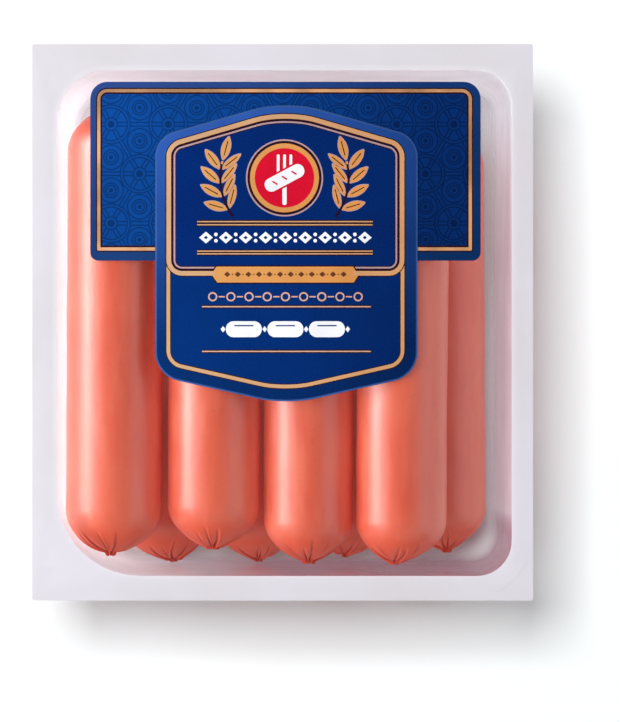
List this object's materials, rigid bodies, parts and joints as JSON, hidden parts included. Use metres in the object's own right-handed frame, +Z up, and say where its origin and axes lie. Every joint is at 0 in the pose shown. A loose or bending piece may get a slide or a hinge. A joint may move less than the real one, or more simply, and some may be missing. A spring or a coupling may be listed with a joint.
{
  "type": "frankfurter pack",
  "caption": "Clear tray with a flat sealed flange and clear lid film, holding plain frankfurters in nested rows under unlettered blue and gold paper labels.",
  "frame": {"origin": "on the tray's underside, under the middle of the flange", "axes": "+X to the right, +Y to the end of the pack with the wide label, +Z up through the lid film"},
  "size_m": [0.135, 0.15, 0.0496],
  "materials": {
    "tray_plastic": "gloss",
    "frankfurter": "satin",
    "lid_film": "gloss",
    "label_panel": "satin",
    "label_shield": "satin"
  },
  "bodies": {
    "root": {"tray": "tray_plastic", "frankfurter_back_1": "frankfurter", "frankfurter_back_2": "frankfurter", "frankfurter_back_3": "frankfurter", "frankfurter_back_4": "frankfurter", "frankfurter_front_1": "frankfurter", "frankfurter_front_2": "frankfurter", "frankfurter_front_3": "frankfurter", "frankfurter_front_4": "frankfurter", "lid_film": "lid_film", "label_panel": "label_panel", "label_shield": "label_shield"}
  },
  "joints": []
}
